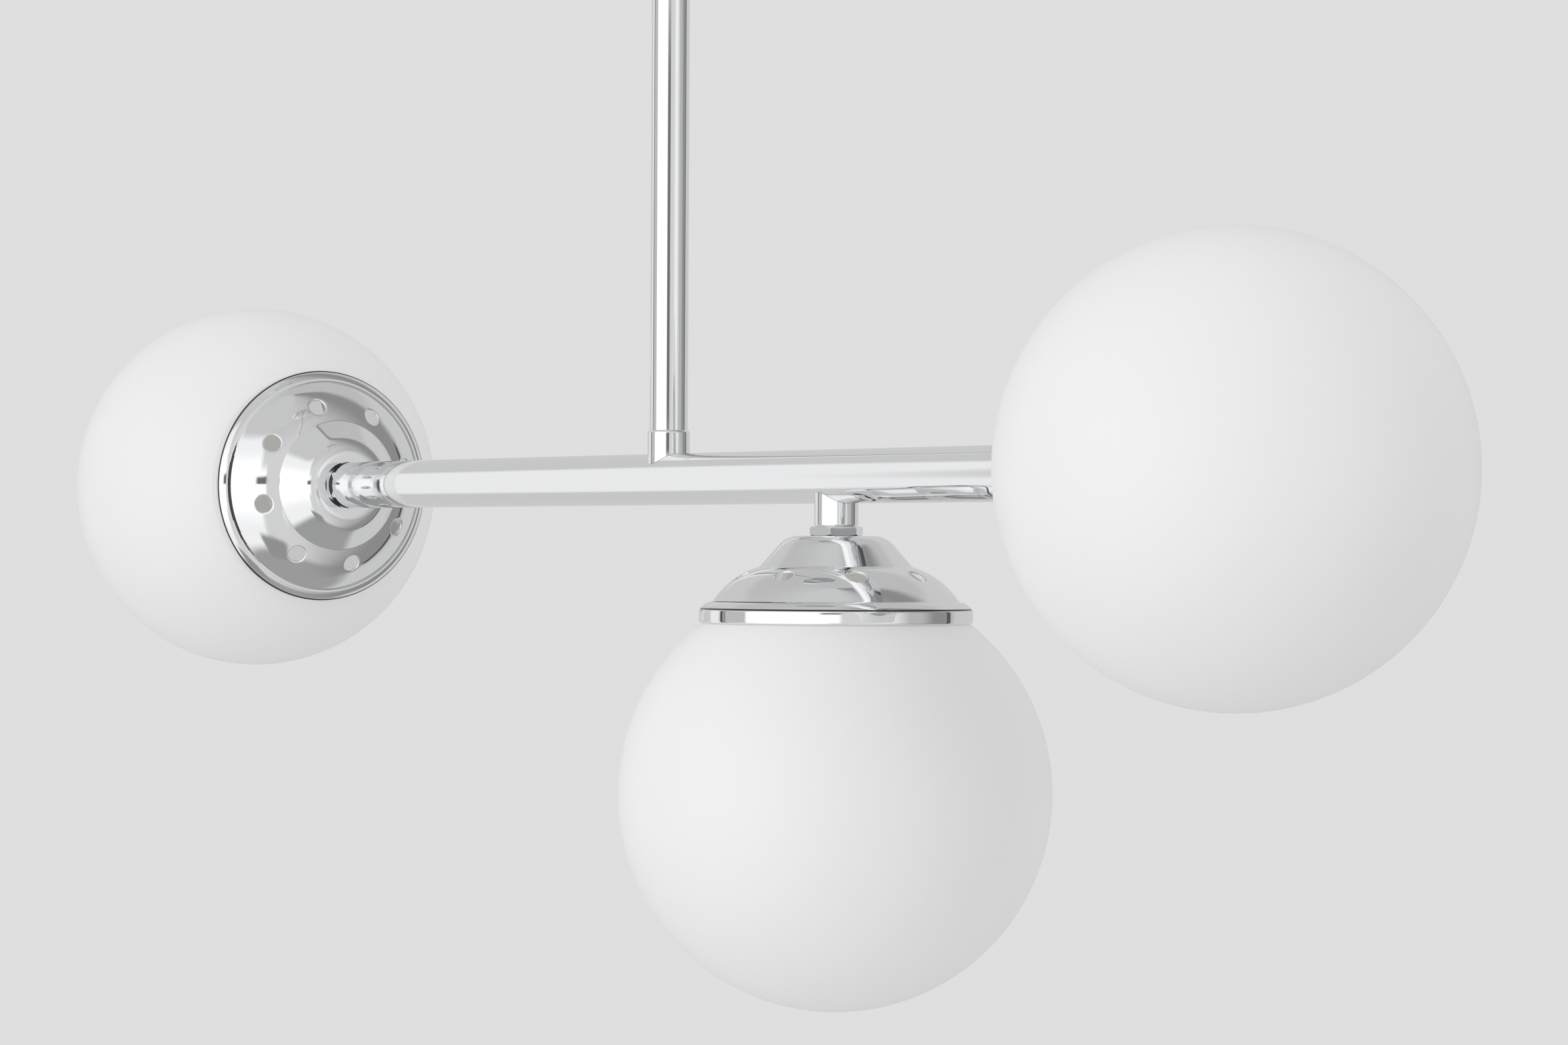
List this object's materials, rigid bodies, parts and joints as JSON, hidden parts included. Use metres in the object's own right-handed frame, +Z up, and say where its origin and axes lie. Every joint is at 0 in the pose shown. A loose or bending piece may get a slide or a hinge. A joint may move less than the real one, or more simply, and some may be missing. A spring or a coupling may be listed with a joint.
{
  "type": "branch chandelier",
  "caption": "Straight chrome bar on a stem, with opal glass globes on its ends and one hanging from a short branch under it.",
  "frame": {"origin": "on the ceiling plane, at the middle of the crossbar's upper face, on the stem's axis", "axes": "+Z up along the stem; +X along the bar towards the hanging globe's side; Y across the bar"},
  "size_m": [0.866, 0.152, 0.5871],
  "materials": {
    "polished_chrome": "polished chrome plate",
    "opal_glass": "satin opal white, opaque",
    "zinc_steel": "zinc-plated steel",
    "green_steel": "green-dyed zinc on steel",
    "spring_steel": "bright spring steel strip",
    "porcelain": "white glazed porcelain",
    "brass": "plain brass",
    "nickel": "nickel-plated aluminium",
    "black_insulator": "black insulating glass",
    "white_plastic": "moulded, satin",
    "board": "white-coated aluminium board",
    "bulb_diffuser": "frosted diffuser",
    "lead_sheath": "smooth cable sheath"
  },
  "bodies": {
    "fixture": {"crossbar": "zinc_steel", "ground_screw": "green_steel", "terminal_block": "white_plastic", "terminal_screw": "zinc_steel", "top_nipple": "zinc_steel", "top_nuts": "zinc_steel", "stem": "polished_chrome", "stem_collar": "polished_chrome", "stem_nipple": "zinc_steel", "bar": "polished_chrome", "bar_nuts": "zinc_steel", "branch_collar": "polished_chrome", "branch_nipple": "zinc_steel", "end_plugs": "zinc_steel", "end_nipples": "zinc_steel", "locknuts": "polished_chrome", "clamp_nuts": "zinc_steel", "left_lead": "lead_sheath", "right_lead": "lead_sheath", "branch_lead": "lead_sheath", "left_cap": "polished_chrome", "left_spring": "spring_steel", "left_holder": "porcelain", "left_shell": "brass", "left_contact": "brass", "right_cap": "polished_chrome", "right_spring": "spring_steel", "right_holder": "porcelain", "right_shell": "brass", "right_contact": "brass", "branch_cap": "polished_chrome", "branch_spring": "spring_steel", "branch_holder": "porcelain", "branch_shell": "brass", "branch_contact": "brass"},
    "canopy_unit": {"canopy": "polished_chrome", "canopy_collar": "polished_chrome", "canopy_set_screw": "zinc_steel"},
    "left_glass": {"left_globe": "opal_glass"},
    "left_base_tip": {"left_bulb_foot": "black_insulator"},
    "left_bulb": {"left_bulb_base": "nickel", "left_bulb_body": "white_plastic", "left_bulb_board": "board", "left_bulb_dome": "bulb_diffuser"},
    "right_glass": {"right_globe": "opal_glass"},
    "right_base_tip": {"right_bulb_foot": "black_insulator"},
    "right_bulb": {"right_bulb_base": "nickel", "right_bulb_body": "white_plastic", "right_bulb_board": "board", "right_bulb_dome": "bulb_diffuser"},
    "branch_glass": {"branch_globe": "opal_glass"},
    "branch_base_tip": {"branch_bulb_foot": "black_insulator"},
    "branch_bulb": {"branch_bulb_base": "nickel", "branch_bulb_body": "white_plastic", "branch_bulb_board": "board", "branch_bulb_dome": "bulb_diffuser"}
  },
  "joints": [
    {"name": "canopy_slide", "type": "slide", "parent": "fixture", "child": "canopy_unit", "axis": [0, 0, -1], "range_m": [0, 0.12]},
    {"name": "left_globe_pull", "type": "slide", "parent": "fixture", "child": "left_glass", "axis": [-1, 0, 0], "range_m": [0, 0.13]},
    {"name": "left_bulb_rise", "type": "slide", "parent": "fixture", "child": "left_base_tip", "axis": [-1, 0, 0], "range_m": [0, 0.0164]},
    {"name": "left_bulb_turn", "type": "hinge", "parent": "left_base_tip", "child": "left_bulb", "pos_m": [-0.26341, 0, -0.4], "axis": [-1, 0, 0], "range_deg": [0, 1620]},
    {"name": "right_globe_pull", "type": "slide", "parent": "fixture", "child": "right_glass", "axis": [1, 0, 0], "range_m": [0, 0.13]},
    {"name": "right_bulb_rise", "type": "slide", "parent": "fixture", "child": "right_base_tip", "axis": [1, 0, 0], "range_m": [0, 0.0164]},
    {"name": "right_bulb_turn", "type": "hinge", "parent": "right_base_tip", "child": "right_bulb", "pos_m": [0.26341, 0, -0.4], "axis": [1, 0, 0], "range_deg": [0, 1620]},
    {"name": "branch_globe_pull", "type": "slide", "parent": "fixture", "child": "branch_glass", "axis": [0, 0, -1], "range_m": [0, 0.13]},
    {"name": "branch_bulb_rise", "type": "slide", "parent": "fixture", "child": "branch_base_tip", "axis": [0, 0, -1], "range_m": [0, 0.0164]},
    {"name": "branch_bulb_turn", "type": "hinge", "parent": "branch_base_tip", "child": "branch_bulb", "pos_m": [0.119, 0, -0.4175], "axis": [0, 0, -1], "range_deg": [0, 1620]}
  ],
  "couplings": [
    {"joint": "left_bulb_rise", "follows": "left_bulb_turn", "m_per_rad": 0.00057757},
    {"joint": "right_bulb_rise", "follows": "right_bulb_turn", "m_per_rad": 0.00057757},
    {"joint": "branch_bulb_rise", "follows": "branch_bulb_turn", "m_per_rad": 0.00057757}
  ]
}
